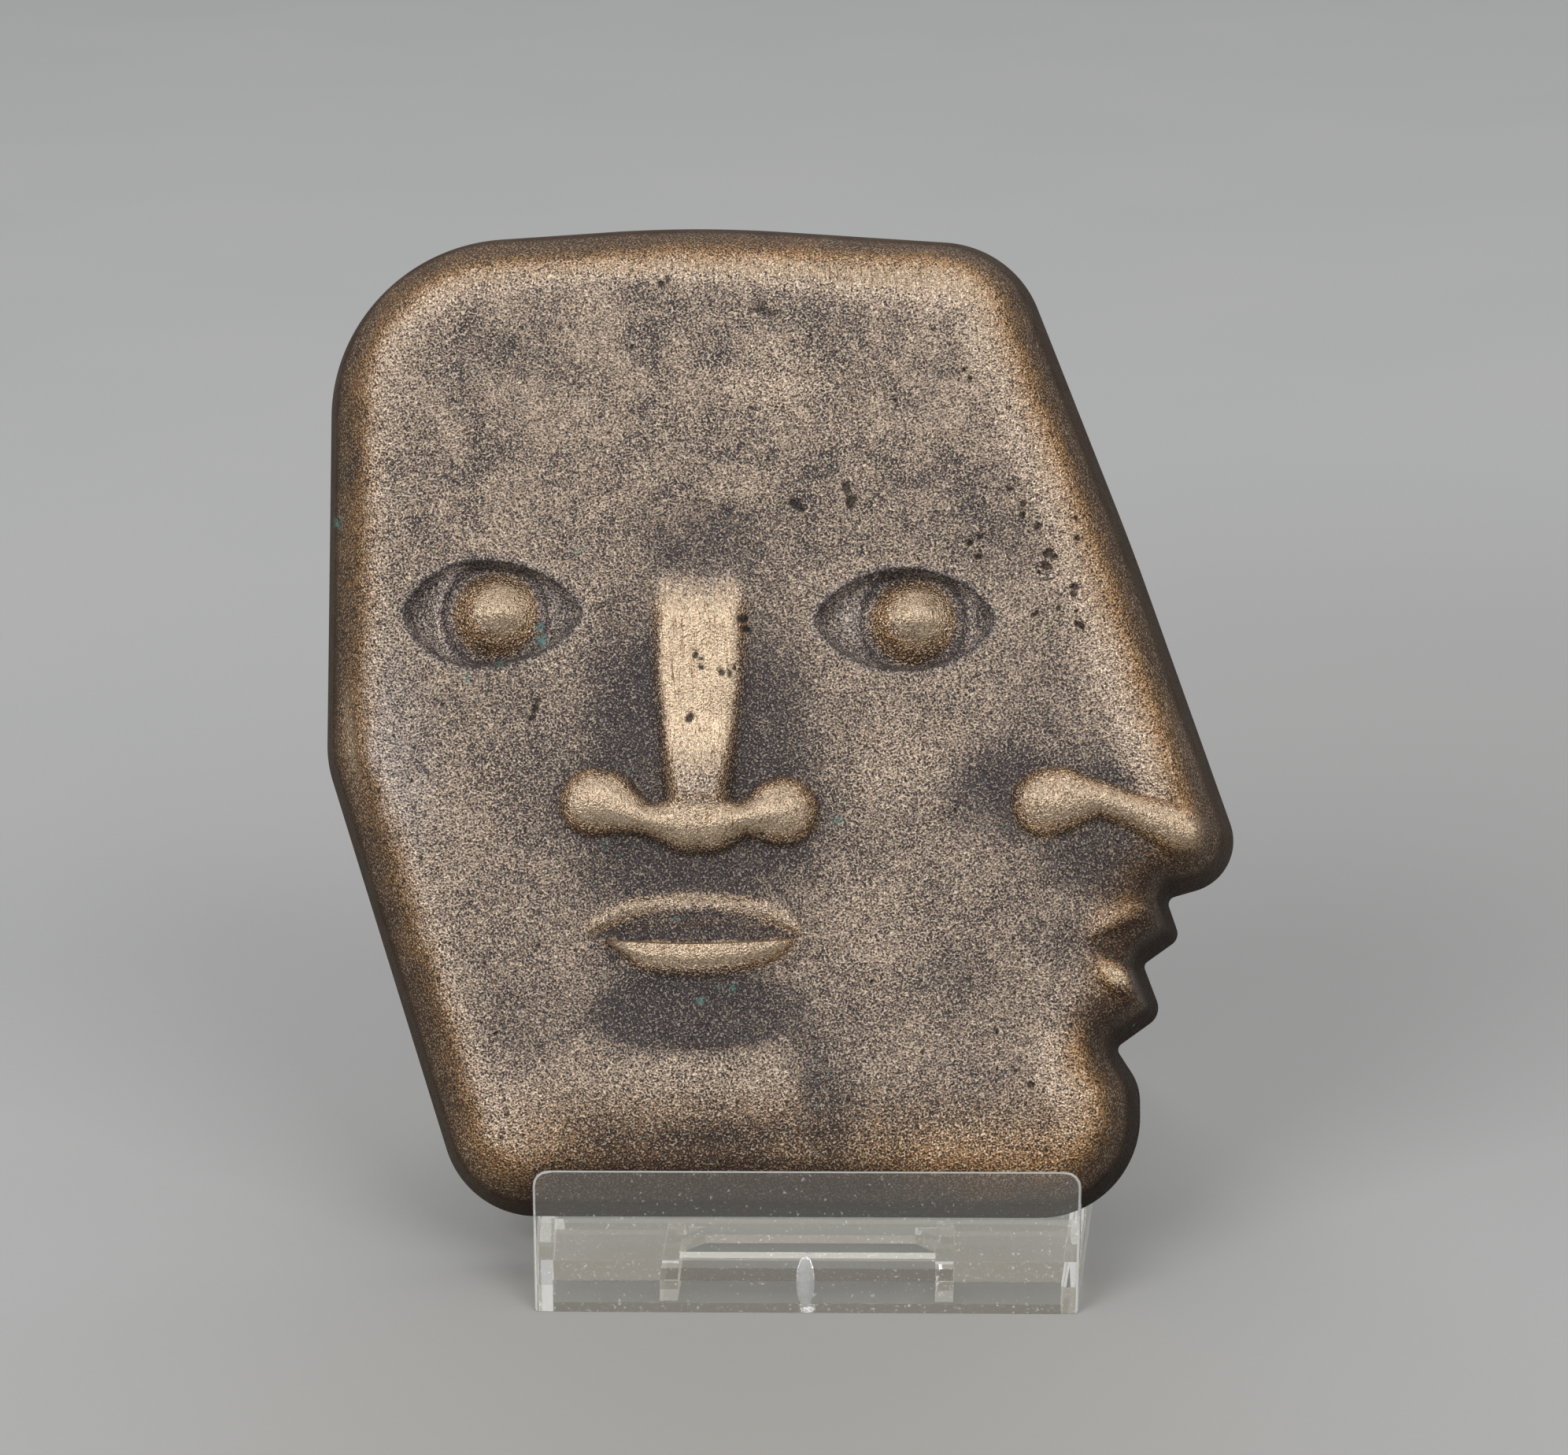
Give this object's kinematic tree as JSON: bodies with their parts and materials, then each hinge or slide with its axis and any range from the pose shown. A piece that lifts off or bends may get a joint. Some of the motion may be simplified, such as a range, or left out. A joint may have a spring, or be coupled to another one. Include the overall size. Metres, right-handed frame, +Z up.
{
  "type": "relief plaque",
  "caption": "Cast relief plaque shaped as one head with a full face and a profile sharing an eye, leaning on a clear moulded easel",
  "frame": {"origin": "on the surface the easel stands on, under the middle of the whole part's box", "axes": "+Z up, the faces look towards -Y and lean back towards +Y, +X to the viewer's right, where the profile looks"},
  "size_m": [0.1052, 0.07, 0.1091],
  "materials": {
    "bronze": "satin",
    "clear_plastic": "gloss"
  },
  "bodies": {
    "root": {"relief_plaque": "bronze", "display_easel": "clear_plastic"}
  },
  "joints": []
}
